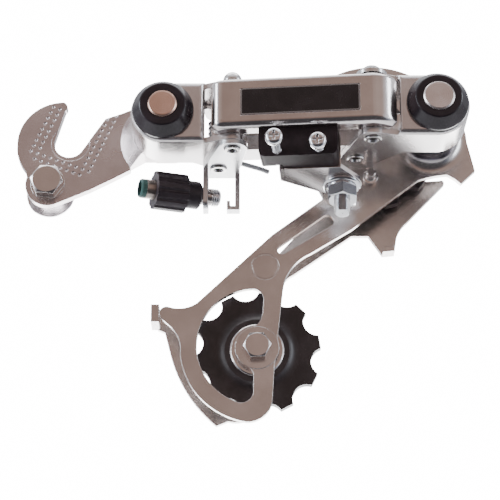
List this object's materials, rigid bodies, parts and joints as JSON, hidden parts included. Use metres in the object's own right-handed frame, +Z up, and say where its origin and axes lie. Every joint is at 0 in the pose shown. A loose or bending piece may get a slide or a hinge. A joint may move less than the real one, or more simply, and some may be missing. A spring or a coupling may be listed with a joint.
{
  "type": "rear derailleur",
  "caption": "Rear bicycle derailleur on a claw hanger: sprung parallelogram with a blank black badge, barrel adjuster, limit screws and a long cage with two jockey wheels",
  "frame": {"origin": "wheel axle centre in the claw slot, at the inboard face of the claw", "axes": "+X forwards along the bicycle, +Y inboard towards the wheel, +Z up"},
  "size_m": [0.157, 0.0542, 0.1333],
  "materials": {
    "plated_steel": "bright nickel plate, brushed",
    "coated_steel": "zinc plate with a warm cast",
    "spring_steel": "drawn wire",
    "black_plastic": "moulded, slightly glossy",
    "grey_plastic": "moulded, satin",
    "badge_black": "printed film, plain",
    "bronze": "sintered bushing",
    "green_plastic": "moulded seal"
  },
  "bodies": {
    "hanger": {"hanger_plate": "coated_steel", "hanger_bolt": "plated_steel", "hanger_nut": "plated_steel", "b_axle_bolt": "plated_steel", "b_lock_nut": "plated_steel", "b_spring": "spring_steel"},
    "upper_body": {"b_knuckle": "plated_steel", "b_cap": "black_plastic", "b_bushing": "bronze", "cable_bracket": "plated_steel", "pivot_pin_front_b": "plated_steel", "pivot_pin_rear_b": "plated_steel", "return_spring": "spring_steel", "adjuster_screw": "plated_steel", "housing_ferrule": "plated_steel", "ferrule_seal": "green_plastic"},
    "adjuster_barrel": {"adjuster_knob": "black_plastic"},
    "front_arm": {"front_link": "plated_steel", "link_badge": "badge_black", "limit_block": "black_plastic", "anchor_bolt": "plated_steel", "anchor_washer": "plated_steel", "anchor_nut": "plated_steel"},
    "low_screw": {"limit_screw_low": "plated_steel"},
    "high_screw": {"limit_screw_high": "plated_steel"},
    "rear_arm": {"rear_link": "plated_steel"},
    "lower_body": {"p_knuckle": "plated_steel", "p_cap": "black_plastic", "p_bushing": "bronze", "pivot_pin_front_p": "plated_steel", "pivot_pin_rear_p": "plated_steel"},
    "cage": {"outer_cage_plate": "coated_steel", "inner_cage_plate": "coated_steel", "cage_stop_pin": "plated_steel", "p_axle_bolt": "plated_steel", "p_lock_nut": "plated_steel", "p_spring": "spring_steel", "guide_bolt": "plated_steel", "guide_bushing": "plated_steel", "guide_dust_caps": "plated_steel", "tension_bolt": "plated_steel", "tension_bushing": "plated_steel", "tension_dust_caps": "plated_steel"},
    "guide_wheel": {"guide_pulley": "grey_plastic"},
    "tension_wheel": {"tension_pulley": "grey_plastic"}
  },
  "joints": [
    {"name": "b_pivot", "type": "hinge", "parent": "hanger", "child": "upper_body", "pos_m": [0.0333, -0.018, 0.001], "axis": [0, -1, 0], "range_deg": [0, 35], "stiffness_Nm_per_rad": 0.35, "springref_deg": -28.65, "deforming": ["b_spring"]},
    {"name": "front_link_pivot", "type": "hinge", "parent": "upper_body", "child": "front_arm", "pos_m": [0.0563, -0.0235, 0.001], "axis": [0, 0, 1], "range_deg": [0, 40], "stiffness_Nm_per_rad": 0.3, "springref_deg": -22.92},
    {"name": "rear_link_pivot", "type": "hinge", "parent": "upper_body", "child": "rear_arm", "pos_m": [0.0515, -0.0075, 0.001], "axis": [0, 0, 1], "range_deg": [0, 40], "deforming": ["return_spring"]},
    {"name": "p_knuckle_pivot", "type": "hinge", "parent": "front_arm", "child": "lower_body", "pos_m": [0.10265, -0.02837, 0.001], "axis": [0, 0, 1], "range_deg": [-40, 0]},
    {"name": "cage_pivot", "type": "hinge", "parent": "lower_body", "child": "cage", "pos_m": [0.1238, -0.02, 0.001], "axis": [0, -1, 0], "range_deg": [0, 80], "stiffness_Nm_per_rad": 0.2, "springref_deg": -45.84, "deforming": ["p_spring"]},
    {"name": "guide_spin", "type": "hinge", "parent": "cage", "child": "guide_wheel", "pos_m": [0.1044, 0.00285, -0.0008], "axis": [0, 1, 0], "continuous": true},
    {"name": "tension_spin", "type": "hinge", "parent": "cage", "child": "tension_wheel", "pos_m": [0.0645, 0.00285, -0.0739], "axis": [0, 1, 0], "continuous": true},
    {"name": "adjuster_turn", "type": "hinge", "parent": "upper_body", "child": "adjuster_barrel", "pos_m": [0.03744, -0.00746, -0.0204], "axis": [0.9455, 0.3256, 0], "range_deg": [-720, 720]},
    {"name": "low_screw_turn", "type": "hinge", "parent": "front_arm", "child": "low_screw", "pos_m": [0.07092, -0.03177, -0.0154], "axis": [0.1045, 0.9945, 0], "range_deg": [-1080, 1080]},
    {"name": "high_screw_turn", "type": "hinge", "parent": "front_arm", "child": "high_screw", "pos_m": [0.08454, -0.0332, -0.0154], "axis": [0.1045, 0.9945, 0], "range_deg": [-1080, 1080]}
  ],
  "couplings": [
    {"joint": "rear_link_pivot", "follows": "front_link_pivot", "ratio": 1},
    {"joint": "p_knuckle_pivot", "follows": "front_link_pivot", "ratio": -1}
  ]
}
